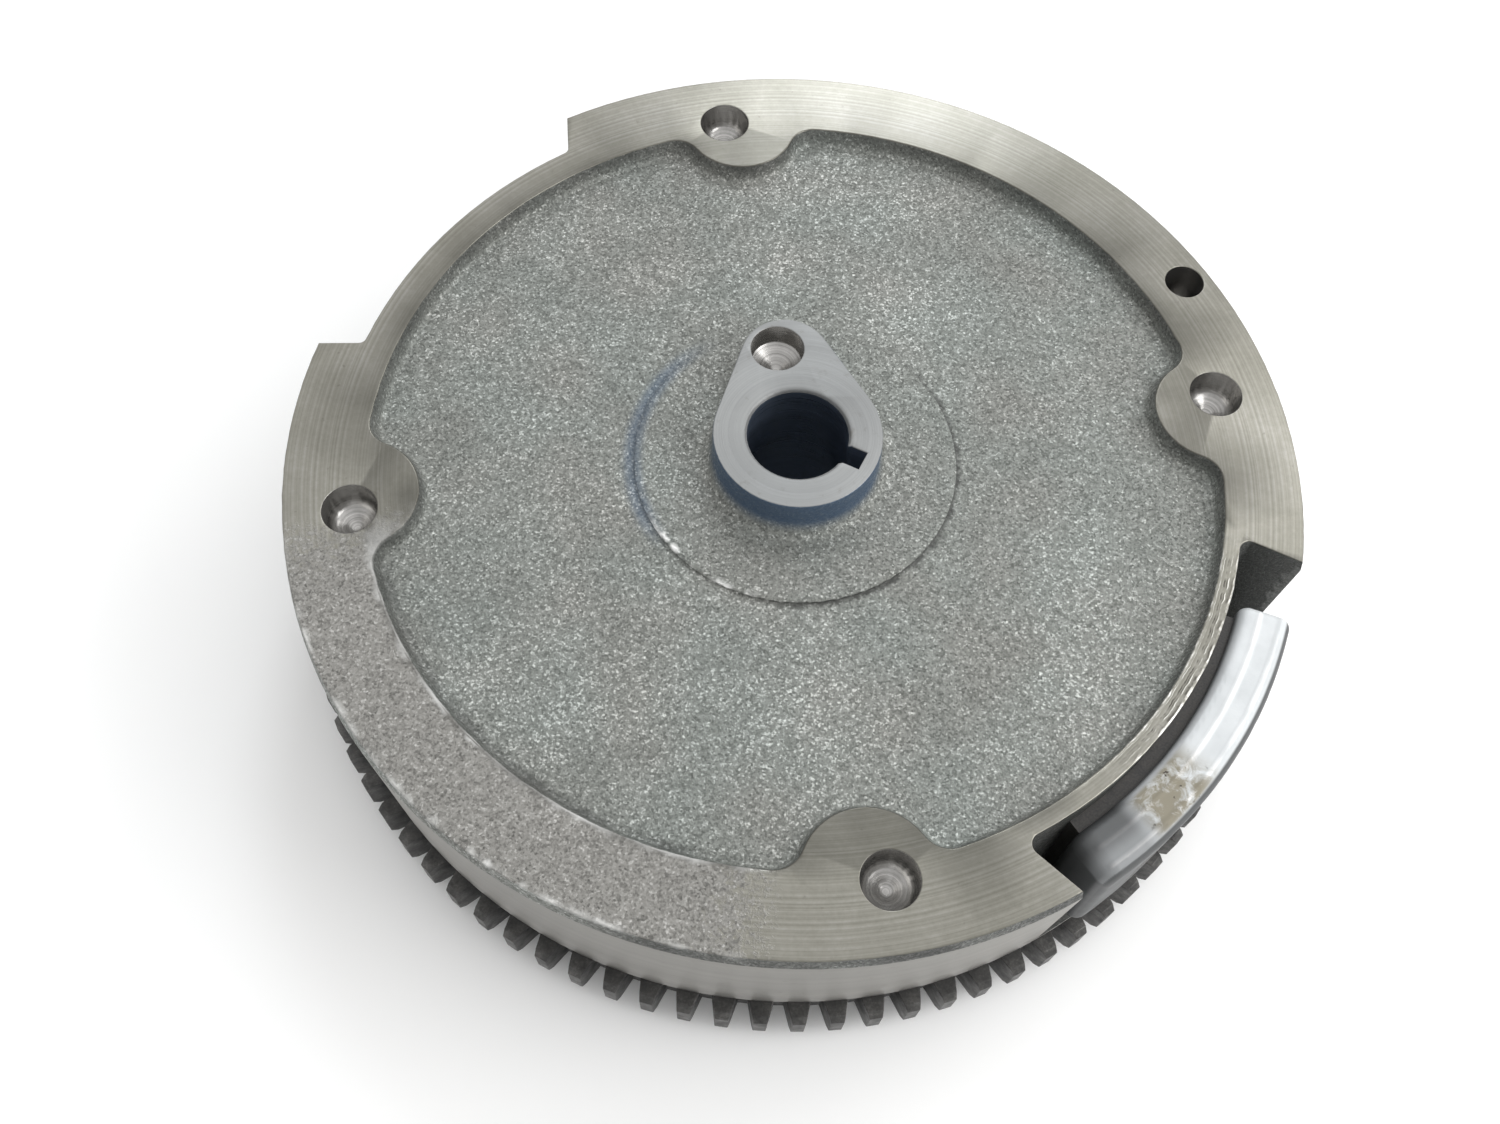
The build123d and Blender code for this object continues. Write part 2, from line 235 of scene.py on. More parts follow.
def blasted_iron():
    """Shot-blasted cast iron: fine dark grains and bright grains, the brightest of them painted glints of
    blasted facets, over soft clouds of tone.
    """
    n = Nodes("blasted_iron")
    cell = n.cells(0.42)
    fine = n.noise(0.42, 2, 0.6)
    coarse = n.noise(1.2, 3, 0.65)
    cloud = n.noise(30, 3, 0.6)
    speckle = n.math("ADD", n.math("MULTIPLY", cell, 0.42), n.math("MULTIPLY", fine, 0.75))
    speckle = n.math("ADD", speckle, n.math("MULTIPLY", coarse, 0.30))
    tone = n.math("ADD", speckle, n.math("MULTIPLY", cloud, 0.34))
    stops = [
        (0.12, (0.082, 0.085, 0.079)),
        (0.44, (0.178, 0.185, 0.173)),
        (0.68, (0.244, 0.252, 0.238)),
        # the brightest grains: painted glints of blasted facets
        (0.92, (0.64, 0.65, 0.63)),
    ]
    colour = n.ramp(n.scaled(tone, 0.42, 1.36), stops)
    hue = n.ramp(n.noise(22, 2), [(0.35, (0.965, 1.0, 0.985)), (0.65, (1.0, 0.985, 0.965))])
    colour = n.multiply(colour, hue)
    # dark blue on the hub's side, partly heat tint and partly painted shade; a blue mark by the pad's left
    # edge
    colour = n.mix(n.attribute("blue_cast_and_shade"), colour, (0.07, 0.12, 0.20))
    # painted shade in the recess, the notch and beside the pad, glue in the notch, and the rim edge's dark
    # skin
    colour = n.mix(n.attribute("dark_skin_glue_and_shade"), colour, (0.045, 0.046, 0.043))
    # painted glints on the nicks and burrs of the rim and on the pad's lit edge
    colour = n.mix(n.attribute("bright"), colour, (0.85, 0.85, 0.83))
    relief = n.math("ADD", n.math("MULTIPLY", cell, 0.5), n.math("MULTIPLY", fine, 1.2))
    normal = n.bump(relief, 0.13, 0.9)
    rough = n.scaled(cell, 0.0, 1.0, 0.70, 0.40)
    return n.finish(base_color=colour, metallic=0.35, roughness=rough, normal=normal)


def round_the_axis(n):
    """Socket values for a turned surface: gloss is drawn out across the grooves."""
    tangent = n.add("ShaderNodeTangent", direction_type="RADIAL", axis="Z").outputs[0]
    return {"anisotropic": 0.75, "anisotropic_rotation": 0.25, "tangent": tangent}


def machined(name, colour, across="radius", rough=0.34, pitch_mm=0.55):
    """A turned surface: fine grooves that vary with the radius or the height."""
    n = Nodes(name)
    along = n.radius() if across == "radius" else n.height()
    wobble = n.math("MULTIPLY", n.noise(9, 1), 0.12 * MM)
    groove = n.line_noise(n.math("ADD", along, wobble), pitch_mm, 3)
    band = n.line_noise(along, pitch_mm * 9, 2)
    cloud = n.noise(24, 3, 0.6)
    grime = n.noise(2.2, 4, 0.7)
    tone = n.math("ADD", n.math("MULTIPLY", groove, 0.55), n.math("MULTIPLY", band, 0.35))
    tone = n.math("ADD", tone, n.math("MULTIPLY", cloud, 0.45))
    dark = tuple(0.66 * part for part in colour)
    light = tuple(min(1.22 * part, 1.0) for part in colour)
    shade = n.ramp(n.scaled(tone, 0.35, 1.0), [(0.0, dark), (1.0, light)])
    stained = n.mix(n.scaled(grime, 0.60, 0.78, 0.0, 0.35), shade, (0.10, 0.085, 0.06))
    normal = n.bump(groove, 0.02)
    gloss = n.scaled(n.math("ADD", groove, cloud), 0.7, 1.3, rough - 0.06, rough + 0.09)
    return n.finish(
        base_color=stained, metallic=0.92, roughness=gloss, normal=normal, **round_the_axis(n)
    )


def drilled_iron():
    """A drilled hole: feed marks round its wall and round the cone at its foot."""
    n = Nodes("drilled_iron")
    mark = n.line_noise(n.height(), 0.22, 2)
    cloud = n.noise(3, 3, 0.6)
    tone = n.math("ADD", mark, n.math("MULTIPLY", cloud, 0.6))
    colour = n.ramp(n.scaled(tone, 0.5, 1.1), [(0.0, (0.25, 0.245, 0.235)), (1.0, (0.53, 0.52, 0.505))])
    normal = n.bump(mark, 0.006)
    return n.finish(base_color=colour, metallic=0.95, roughness=0.27, normal=normal)


def rim_face_iron():
    """The rim's fan-side face: machined, except for the stretch left as cast."""
    n = Nodes("rim_face_iron")
    cell = n.cells(0.42)
    fine = n.noise(0.45, 2, 0.6)
    coarse = n.noise(1.4, 3, 0.65)
    speckle = n.math("ADD", n.math("MULTIPLY", cell, 0.4), n.math("MULTIPLY", fine, 0.6))
    speckle = n.math("ADD", speckle, n.math("MULTIPLY", coarse, 0.55))
    stops = [
        (0.10, (0.09, 0.088, 0.080)),
        (0.45, (0.228, 0.222, 0.206)),
        (0.72, (0.30, 0.294, 0.275)),
        # the brightest as-cast grains: painted glints of blasted facets
        (0.95, (0.58, 0.57, 0.55)),
    ]
    cast = n.ramp(n.scaled(speckle, 0.36, 1.18), stops)
    radius = n.radius()
    wobble = n.math("MULTIPLY", n.noise(9, 1), 0.12 * MM)
    groove = n.line_noise(n.math("ADD", radius, wobble), 0.55, 3)
    cloud = n.noise(20, 3, 0.6)
    tone = n.math("ADD", n.math("MULTIPLY", groove, 0.6), n.math("MULTIPLY", cloud, 0.6))
    tone = n.math("ADD", tone, n.math("MULTIPLY", n.noise(1.1, 3, 0.7), 0.35))
    turned = n.ramp(
        n.scaled(tone, 0.5, 1.1),
        [(0.0, (0.172, 0.167, 0.140)), (0.55, (0.245, 0.238, 0.208)), (1.0, (0.322, 0.314, 0.292))],
    )
    pits = n.scaled(n.noise(1.4, 2, 0.5), 0.71, 0.79, 0.0, 0.4)
    turned = n.mix(pits, turned, (0.11, 0.10, 0.085))
    amount = n.attribute("cast")
    patch = n.scaled(n.noise(1.3, 4, 0.75), 0.36, 0.64, -0.4, 0.4)
    patch = n.math("MULTIPLY", patch, n.scaled(amount, 0.0, 0.2))
    share = n.scaled(n.math("ADD", amount, patch), 0.12, 0.6)
    colour = n.mix(share, turned, cast)
    fray = n.attribute("fray")
    drift = n.math("MULTIPLY", n.noise(7, 3, 0.7), 1.4 * MM)
    streak = n.line_noise(n.math("ADD", radius, drift), 0.6, 2)
    fray = n.math("MULTIPLY", fray, n.scaled(n.noise(2.6, 2, 0.6), 0.40, 0.60))
    colour = n.mix(n.math("MULTIPLY", fray, n.scaled(streak, 0.50, 0.40)), colour, (0.08, 0.075, 0.065))
    colour = n.mix(n.math("MULTIPLY", fray, n.scaled(streak, 0.52, 0.62)), colour, (0.74, 0.73, 0.69))
    # painted shade along the recess's edge, and the dark skin of the rim's edges
    colour = n.mix(n.attribute("dark_skin_glue_and_shade"), colour, (0.06, 0.058, 0.05))
    # painted glints on the nicks and burrs of the rim's edges
    colour = n.mix(n.attribute("bright"), colour, (0.9, 0.9, 0.88))
    cast_relief = n.math("MULTIPLY", speckle, n.math("MULTIPLY", share, 5.0))
    turned_relief = n.math("MULTIPLY", groove, n.math("SUBTRACT", 1.0, share))
    normal = n.bump(n.math("ADD", cast_relief, turned_relief), 0.02, 1.0)
    gloss = n.scaled(share, 0.0, 1.0, 0.29, 0.60)
    metal = n.scaled(share, 0.0, 1.0, 0.92, 0.32)
    return n.finish(
        base_color=colour, metallic=metal, roughness=gloss, normal=normal, **round_the_axis(n)
    )


def dark_steel():
    """Hardened gear steel: nearly black with lighter worn patches, and darker towards the roots of the teeth,
    partly oil and partly painted shade.
    """
    n = Nodes("dark_steel")
    worn = n.noise(3.0, 4, 0.65)
    fine = n.noise(0.5, 3, 0.6)
    tone = n.math("ADD", n.math("MULTIPLY", worn, 0.7), n.math("MULTIPLY", fine, 0.4))
    colour = n.ramp(
        n.scaled(tone, 0.3, 0.85),
        [(0.0, (0.03, 0.03, 0.03)), (0.5, (0.085, 0.083, 0.08)), (1.0, (0.19, 0.185, 0.175))],
    )
    # darker towards the roots: partly oil, partly painted shade between the teeth
    root = n.scaled(n.radius(), 96.0 * MM, 101.0 * MM, 0.55, 0.0)
    colour = n.mix(root, colour, (0.02, 0.02, 0.02))
    normal = n.bump(fine, 0.05, 0.7)
    gloss = n.scaled(worn, 0.3, 0.7, 0.55, 0.36)
    return n.finish(base_color=colour, metallic=0.75, roughness=gloss, normal=normal)


def die_cast():
    """The ignition magnet's silvery block, with a stain towards its lower end, painted glints along the
    ridges of its top, and dark patches that are partly grime and partly painted shade.
    """
    n = Nodes("die_cast_silver")
    cloud = n.noise(7, 3, 0.6)
    fine = n.noise(0.8, 3, 0.6)
    colour = n.ramp(cloud, [(0.35, (0.50, 0.52, 0.53)), (0.65, (0.57, 0.59, 0.60))])
    # painted glints along the ridges of the block's top
    colour = n.mix(n.attribute("edge"), colour, (0.93, 0.93, 0.93))
    patch = n.noise(3.4, 5, 0.68, distortion=0.6)
    stain = n.math("MULTIPLY", n.attribute("stain"), n.scaled(patch, 0.32, 0.52))
    colour = n.mix(stain, colour, (0.235, 0.215, 0.165))
    crumb = n.math("MULTIPLY", n.attribute("stain"), n.scaled(n.noise(1.5, 3, 0.6), 0.66, 0.72))
    colour = n.mix(crumb, colour, (0.06, 0.05, 0.04))
    # darker towards the lower end; painted shade on the outer edge strip, the inner side and the end face
    colour = n.mix(n.attribute("grime"), colour, (0.045, 0.047, 0.048))
    normal = n.bump(n.math("ADD", fine, n.math("MULTIPLY", cloud, 2.0)), 0.05, 0.5)
    gloss = n.math("ADD", n.scaled(cloud, 0.3, 0.7, 0.44, 0.54), n.math("MULTIPLY", stain, 0.3))
    return n.finish(base_color=colour, metallic=0.12, roughness=gloss, normal=normal)


def plain(name, dark, light, size_mm, metallic, rough):
    """A fine-grained surface between two colours."""
    n = Nodes(name)
    grain = n.noise(size_mm, 4, 0.65)
    fine = n.noise(size_mm / 5, 2, 0.5)
    colour = n.ramp(n.scaled(n.math("ADD", grain, fine), 0.7, 1.3), [(0.0, dark), (1.0, light)])
    normal = n.bump(fine, 0.03, 0.8)
    gloss = n.scaled(grain, 0.3, 0.7, rough - 0.07, rough + 0.07)
    return n.finish(base_color=colour, metallic=metallic, roughness=gloss, normal=normal)


def laminations():
    """Stacked steel sheet: a fine line between each two sheets."""
    n = Nodes("laminations")
    line = n.line_noise(n.height(), 0.9, 2)
    grain = n.noise(1.5, 4, 0.6)
    tone = n.math("ADD", line, n.math("MULTIPLY", grain, 0.5))
    colour = n.ramp(n.scaled(tone, 0.5, 1.0), [(0.0, (0.03, 0.028, 0.026)), (1.0, (0.15, 0.145, 0.14))])
    return n.finish(base_color=colour, metallic=0.7, roughness=0.5, normal=n.bump(line, 0.03))


def floor_paper():
    """The pale sheet that the flywheel lies on."""
    n = Nodes("floor_paper")
    cloud = n.noise(160, 2)
    colour = n.ramp(cloud, [(0.3, (0.94, 0.94, 0.935)), (0.7, (0.97, 0.97, 0.965))])
    normal = n.bump(n.noise(0.7, 2), 0.02, 0.4)
    return n.finish(base_color=colour, roughness=0.85, normal=normal)


# --- mesh work ----------------------------------------------------------------------------------

def node_bmesh(node):
    """A welded copy of a CAD node's mesh."""
    bm = bmesh.new()
    bm.from_mesh(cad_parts[node].data)
    bmesh.ops.remove_doubles(bm, verts=bm.verts, dist=1e-6)
    bm.normal_update()
    return bm


def bevel_sharp(bm, width, wanted, segments=2, sharp=50):
    """Rounds the sharp edges for which wanted(edge) is true."""
    edges = [
        edge
        for edge in bm.edges
        if len(edge.link_faces) == 2 and edge.calc_face_angle(0) > radians(sharp) and wanted(edge)
    ]
    bmesh.ops.bevel(
        bm,
        geom=edges,
        offset=width,
        offset_type="OFFSET",
        segments=segments,
        profile=0.5,
        affect="EDGES",
        clamp_overlap=True,
    )
    bmesh.ops.remove_doubles(bm, verts=bm.verts, dist=2e-6)
    bm.normal_update()


def split_long_edges(bm, limit, wanted):
    """Halves the edges of the wanted faces until each is shorter than limit."""
    for _ in range(SPLIT_ROUNDS):
        edges = {
            edge for face in bm.faces if wanted(face) for edge in face.edges if edge.calc_length() > limit
        }
        if not edges:
            break
        bmesh.ops.subdivide_edges(bm, edges=list(edges), cuts=1, use_grid_fill=True)
        bmesh.ops.triangulate(bm, faces=[face for face in bm.faces if len(face.verts) > 4])
    bm.normal_update()


def refill(bm, faces, spacing, keep=None):
    """Fills a flat level region again with even triangles.

    New points stand in a jittered lattice of the given spacing, wherever keep(point) is true.
    """
    height = faces[0].calc_center_median().z
    up = faces[0].normal.z > 0
    region = set(faces)
    border = [edge for face in faces for edge in face.edges if sum(f in region for f in edge.link_faces) == 1]
    corners = list({vertex for edge in border for vertex in edge.verts})
    number = {vertex: index for index, vertex in enumerate(corners)}
    flat = [[vertex.co.x, vertex.co.y, 0.0] for face in faces for vertex in face.verts]
    polygons, start = [], 0
    for face in faces:
        polygons.append(tuple(range(start, start + len(face.verts))))
        start += len(face.verts)
    tree = BVHTree.FromPolygons(flat, polygons)
    near = kdtree.KDTree(len(corners))
    for index, vertex in enumerate(corners):
        near.insert((vertex.co.x, vertex.co.y, 0.0), index)
    near.balance()

    def inside(point):
        return tree.find_nearest(point, 1e-5)[0] is not None

    rng = random.Random(7)
    low = Vector((min(v.co.x for v in corners), min(v.co.y for v in corners), 0))
    high = Vector((max(v.co.x for v in corners), max(v.co.y for v in corners), 0))
    inner = []
    row_step = spacing * 0.866
    for row in range(int((high.y - low.y) / row_step) + 1):
        for column in range(int((high.x - low.x) / spacing) + 1):
            point = Vector((
                low.x + (column + 0.5 * (row % 2) + rng.uniform(-JITTER, JITTER)) * spacing,
                low.y + (row + rng.uniform(-JITTER, JITTER)) * row_step,
                0.0,
            ))
            if keep is not None and not keep(point):
                continue
            if near.find(point)[2] > CLEAR_OF_BORDER * spacing and inside(point):
                inner.append(point)
    everywhere = [vertex.co for vertex in corners] + inner
    points = [Vector((point.x, point.y)) * 1000 for point in everywhere]
    pairs = [tuple(number[vertex] for vertex in edge.verts) for edge in border]
    placed, _, triangles, origin, _, _ = delaunay_2d_cdt(points, pairs, [], 1, 1e-5)
    bmesh.ops.delete(bm, geom=faces, context="FACES")
    made = []
    for place, sources in zip(placed, origin):
        old = [index for index in sources if index < len(corners)]
        made.append(corners[old[0]] if old else bm.verts.new((place.x * MM, place.y * MM, height)))
    for triangle in triangles:
        centre = sum((placed[index] for index in triangle), Vector((0, 0))) / len(triangle)
        if inside(Vector((centre.x * MM, centre.y * MM, 0.0))):
            order = triangle if up else triangle[::-1]
            try:
                bm.faces.new([made[index] for index in order])
            except ValueError:
                continue
    bmesh.ops.delete(bm, geom=[v for v in bm.verts if not v.link_faces], context="VERTS")
    bm.normal_update()


def fractal(point, size_mm, octaves=3):
    """Noise of about -1 to 1 whose largest features are about size_mm across."""
    value, share, scale = 0.0, 1.0, 1000.0 / size_mm
    for _ in range(octaves):
        value += share * noise.noise(point * scale)
        share *= 0.55
        scale *= 2.1
    return value


def object_from(bm, name, materials):
    """Turns a bmesh into a smooth-shaded object with these materials."""
    mesh = bpy.data.meshes.new(name)
    bm.to_mesh(mesh)
    bm.free()
    for material in materials:
        mesh.materials.append(material)
    mesh.shade_smooth()
    mesh.set_sharp_from_angle(angle=SMOOTH_BELOW)
    obj = bpy.data.objects.new(name, mesh)
    bpy.context.scene.collection.objects.link(obj)
    return obj


def weigh_normals(obj):
    """Keeps large flat faces flat where they meet small rounded edges."""
    modifier = obj.modifiers.new("even_normals", "WEIGHTED_NORMAL")
    modifier.keep_sharp = True
    modifier.weight = 60


def stand_for(obj, node):
    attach(obj, "root")
    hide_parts(node)


# --- the casting --------------------------------------------------------------------------------

CAST, RIM_FACE, SIDE, HUB_FACE, DRILLED, BORE, FOOT = range(7)


def near_axis(point, centre, radius):
    return (Vector((point.x, point.y, 0)) - polar(*centre)).length < radius


def casting_zone(face):
    """Which finish a face of the casting has, from where it lies and which way it faces."""
    centre = face.calc_center_median()
    radius, height, up = radius_of(centre), centre.z, face.normal.z
    for hole in (*PEG_CENTRES, HUB_PEG_CENTRE):
        if near_axis(centre, hole, PEG_R + HOLE_MARGIN):
            return DRILLED
    if near_axis(centre, DRILLING_CENTRE, DRILLING_R + HOLE_MARGIN) and height > GEAR_TOP:
        return DRILLED
    if height > HUB_TOP - 1.0 * MM and up > 0.4:
        return HUB_FACE
    if radius < BORE_REACH_R and up < 0.9 and (radius < 13.3 * MM or angle_of(centre) > 330):
        return BORE
    if height > RIM_TOP - 0.35 * MM and radius > MID_RECESS_R:
        return RIM_FACE
    outward = face.normal.dot(Vector((centre.x, centre.y, 0)).normalized())
    if radius > RIM_R - 1.6 * MM and GEAR_TOP < height < RIM_EDGE and outward > 0.8:
        return SIDE
    if height < HUB_FOOT + 0.5 * MM:
        return FOOT
    return CAST


def make_casting():
    bm = node_bmesh("flywheel_casting")

    def machined_edge(edge):
        middle = (edge.verts[0].co + edge.verts[1].co) / 2
        return middle.z > RIM_TOP - 0.1 * MM or middle.z < 0.3 * MM

    bevel_sharp(bm, 0.22 * MM, machined_edge)
    split_long_edges(bm, 1.2 * MM, lambda face: is_recess_wall(face) or is_hub_side(face))
    split_long_edges(bm, 3.0 * MM, lambda face: casting_zone(face) == CAST and abs(face.normal.z) < 0.9)
    split_long_edges(bm, 1.6 * MM, lambda face: is_rim_edge(face))

    def level(height, up):
        return [
            face
            for face in bm.faces
            if face.normal.z * up > 0.999
            and abs(face.calc_center_median().z - height) < 1e-5
        ]

    refill(bm, level(RECESS_FLOOR, 1), 0.85 * MM)
    refill(bm, level(PAD_TOP, 1), 0.85 * MM)
    refill(bm, level(RIM_TOP, 1), 1.0 * MM, is_uneven_rim)
    refill(bm, level(CUP_TOP, -1), 1.8 * MM)
    for face in bm.faces:
        face.material_index = casting_zone(face)
    displace_casting(bm)
    return bm


def is_recess_wall(face):
    centre = face.calc_center_median()
    return (
        RECESS_FLOOR + 1e-5 < centre.z < RIM_TOP - 0.1 * MM
        and MID_RECESS_R < radius_of(centre) < RECESS_R + 1 * MM
        and casting_zone(face) == CAST
    )


def is_hub_side(face):
    """On the hub's upright side, its foot, or the pad's low side."""
    centre = face.calc_center_median()
    return (
        RECESS_FLOOR + 1e-5 < centre.z < HUB_TOP - 0.3 * MM
        and BORE_REACH_R < radius_of(centre) < PAD_R + 1 * MM
        and face.normal.z < 0.99
        and casting_zone(face) == CAST
    )


def is_rim_edge(face):
    """On the as-cast band between the rim's face and its turned side."""
    centre = face.calc_center_median()
    on_band = RIM_EDGE < centre.z < RIM_TOP + 1e-5 and radius_of(centre) > RIM_SIDE_R
    return on_band and face.normal.z < 0.95


def displace_casting(bm):
    """Gives the as-cast surfaces their real unevenness, and marks where each tone lies."""
    cast_mark = bm.verts.layers.float.new("cast")
    nick_and_glint_mark = bm.verts.layers.float.new("bright")
    blue_cast_and_shade_mark = bm.verts.layers.float.new("blue_cast_and_shade")
    dark_skin_glue_and_shade_mark = bm.verts.layers.float.new("dark_skin_glue_and_shade")
    fray_mark = bm.verts.layers.float.new("fray")
    for vertex in bm.verts:
        point = vertex.co.copy()
        radius, angle = radius_of(point), angle_of(point)
        zones = {face.material_index for face in vertex.link_faces}
        rough = roughness_of_rim(point)
        vertex[cast_mark] = rough if RIM_FACE in zones else 1.0
        grain = fractal(point, 2.2)
        swell = fractal(point + Vector((0.5, 0, 0)), 14, 2)
        if zones == {CAST}:
            depth = 0.055 * MM * grain + 0.06 * MM * swell
            vertex.co += vertex.normal * depth
        elif zones == {RIM_FACE} and rough > 0:
            vertex.co.z += rough * (0.075 * grain - 0.03) * MM
        elif RIM_FACE in zones and CAST in zones:
            outward = Vector((point.x, point.y, 0)).normalized()
            vertex.co += outward * 0.10 * MM * grain
        if RIM_FACE in zones and in_frayed_strip(point):
            vertex[fray_mark] = frayed(angle)
            vertex.co.z += 0.05 * MM * frayed(angle) * noise.noise(point * 500)
            continue
        outer_edge = RIM_FACE in zones and radius > 97.3 * MM
        inner_edge = RIM_FACE in zones and radius < 83.5 * MM
        # bright nicks on the rough stretch of the rim's outer edge: chipped metal, painted near-white as
        # glints
        if outer_edge:
            nick = noise.noise(point * 160) + 0.6 * noise.noise(point * 420)
            vertex[nick_and_glint_mark] = rough * smooth(-0.15, 0.5, nick) * (0.45 + 0.55 * nicked(angle))
            vertex.co.z += rough * smooth(0.1, 0.7, nick) * 0.16 * MM
        elif inner_edge:
            # painted highlight along the burr on the recess's edge
            nick = noise.noise(point * 200) + 0.5 * noise.noise(point * 600)
            vertex[nick_and_glint_mark] = 0.5 * rough * smooth(-0.2, 0.5, nick)
        elif abs(radius - PAD_R) < 0.8 * MM and abs(point.z - PAD_TOP) < 0.4 * MM:
            # painted highlight on the pad's edge where it is lit
            spark = noise.noise(point * 330) + 0.5 * noise.noise(point * 800)
            lit = smooth(205, 222, angle) * (1 - smooth(248, 262, angle))
            vertex[nick_and_glint_mark] = lit * smooth(-0.1, 0.4, spark)
        # dark blue cast with painted shade on the hub's side, and the pad's blue mark
        vertex[blue_cast_and_shade_mark] = blue_cast_and_shade_at(point, radius, angle)
        # painted shade and shadow, glue in the notch, and the rim edge's dark skin
        vertex[dark_skin_glue_and_shade_mark] = dark_skin_glue_and_shade_at(point, radius, angle)


def nicked(angle):
    """1 on the stretch of the rim's outer edge whose nicks are painted brightest, as near-white glints."""
    return smooth(228, 234, angle) * (1 - smooth(243, 249, angle))


def frayed(angle):
    """1 on the thin strip of rim beside the ignition magnet, whose inner edge is ragged."""
    return smooth(308, 324, angle) * (1 - smooth(345, 352, angle))


def in_frayed_strip(point):
    return radius_of(point) < NOTCH_WALL_R and frayed(angle_of(point)) > 0


def is_uneven_rim(point):
    return roughness_of_rim(point) > 0 or in_frayed_strip(point)


def blue_cast_and_shade_at(point, radius, angle):
    """A dark blue cast on the hub's side, partly heat tint and partly painted shade, strongest on the near
    side away from the light; and a blue mark by the pad's left edge.
    """
    if point.z < RECESS_FLOOR - 1 * MM:
        return 0.0
    # painted shade: the hub side's dark blue cast is made stronger on the near side, away from the light
    shaded_near_side = 0.45 + 0.55 * smooth(-0.3, 0.6, sin(radians(angle - 180)))
    side = smooth(PAD_TOP + 0.6 * MM, PAD_TOP + 3.4 * MM, point.z) * (radius < 30 * MM) * shaded_near_side
    edge = 1 - smooth(0.5 * MM, 2.6 * MM, abs(radius - PAD_R - 0.4 * MM))
    left = smooth(120, 150, angle) * (1 - smooth(205, 225, angle))
    return max(0.85 * side, 0.45 * edge * left * (point.z < PAD_TOP + 1 * MM))


def dark_skin_glue_and_shade_at(point, radius, angle):
    """Painted shade on the recess's walls, painted shadow on the floor at the foot of the hidden near wall
    and beside the pad's raised edge, glue and painted shade in the ignition magnet's deep notch, a quarter
    darker everywhere below the recess floor, and the dark skin on the rim's upper edge.
    """
    in_notch = NOTCH_INNER_R < radius < RIM_R + 1 * MM and NOTCH_ENDS[0] < angle < NOTCH_ENDS[1]
    between_walls = NOTCH_END_WALLS[0] < angle < NOTCH_END_WALLS[1]
    on_end_wall = NOTCH_INNER_R < radius < RIM_R - 0.05 * MM and between_walls
    # glue on the notch's walls, and painted shade of the deep gap round the ignition magnet
    if (in_notch or on_end_wall) and point.z > GEAR_TOP - 1 * MM:
        return 0.88 * (point.z < RIM_TOP - 0.15 * MM)
    # everything below the recess floor is a quarter darker
    if point.z < RECESS_FLOOR - 1 * MM:
        return 0.25
    patchy = 0.8 + 0.5 * noise.noise(point * 130)
    if radius > RIM_SIDE_R:
        near = smooth(246, 262, angle) * (1 - smooth(350, 359, angle))
        return 0.95 * near * min(patchy, 1.0) * (point.z < RIM_TOP - 0.15 * MM)
    # painted shade on the recess walls; painted shadow on the floor at the foot of the hidden near wall
    if LOBE_INNER_R < radius < RECESS_R + 0.5 * MM:
        wall = smooth(RECESS_FLOOR + 0.3 * MM, RECESS_FLOOR + 2.9 * MM, point.z)
        hidden_side = smooth(192, 204, angle) * (1 - smooth(258, 268, angle))
        foot = smooth(79.8 * MM, 81.0 * MM, radius) * hidden_side
        return min(max(max(0.62 * wall, 0.6 * foot) * patchy, 0.0), 1.0)
    # painted shadow beside the pad's raised edge, on its right and near sides
    on_pad_side = abs(radius - PAD_R) < 0.8 * MM and point.z < PAD_TOP - 0.02 * MM
    if on_pad_side:
        return 0.85 * (1 - smooth(15, 75, angle)) + 0.85 * smooth(240, 285, angle)
    return 0.0


casting = object_from(
    make_casting(),
    "flywheel_casting_iron",
    [
        blasted_iron(),
        rim_face_iron(),
        machined("turned_side", (0.305, 0.297, 0.28), "height", 0.42, 0.5),
        machined("hub_face", (0.285, 0.29, 0.288), "radius", 0.50, 0.4),
        drilled_iron(),
        machined("bore", (0.16, 0.20, 0.27), "height", 0.32, 0.4),
        machined("foot_face", (0.34, 0.33, 0.30), "radius", 0.38, 0.5),
    ],
)
weigh_normals(casting)
stand_for(casting, "flywheel_casting")


# --- ring gear ----------------------------------------------------------------------------------

def make_ring_gear():
    bm = node_bmesh("ring_gear")
    bevel_sharp(bm, 0.22 * MM, lambda edge: True, segments=2, sharp=35)
    return bm


ring_gear = object_from(make_ring_gear(), "ring_gear_steel", [dark_steel()])
weigh_normals(ring_gear)
stand_for(ring_gear, "ring_gear")


# --- ignition magnet ----------------------------------------------------------------------------

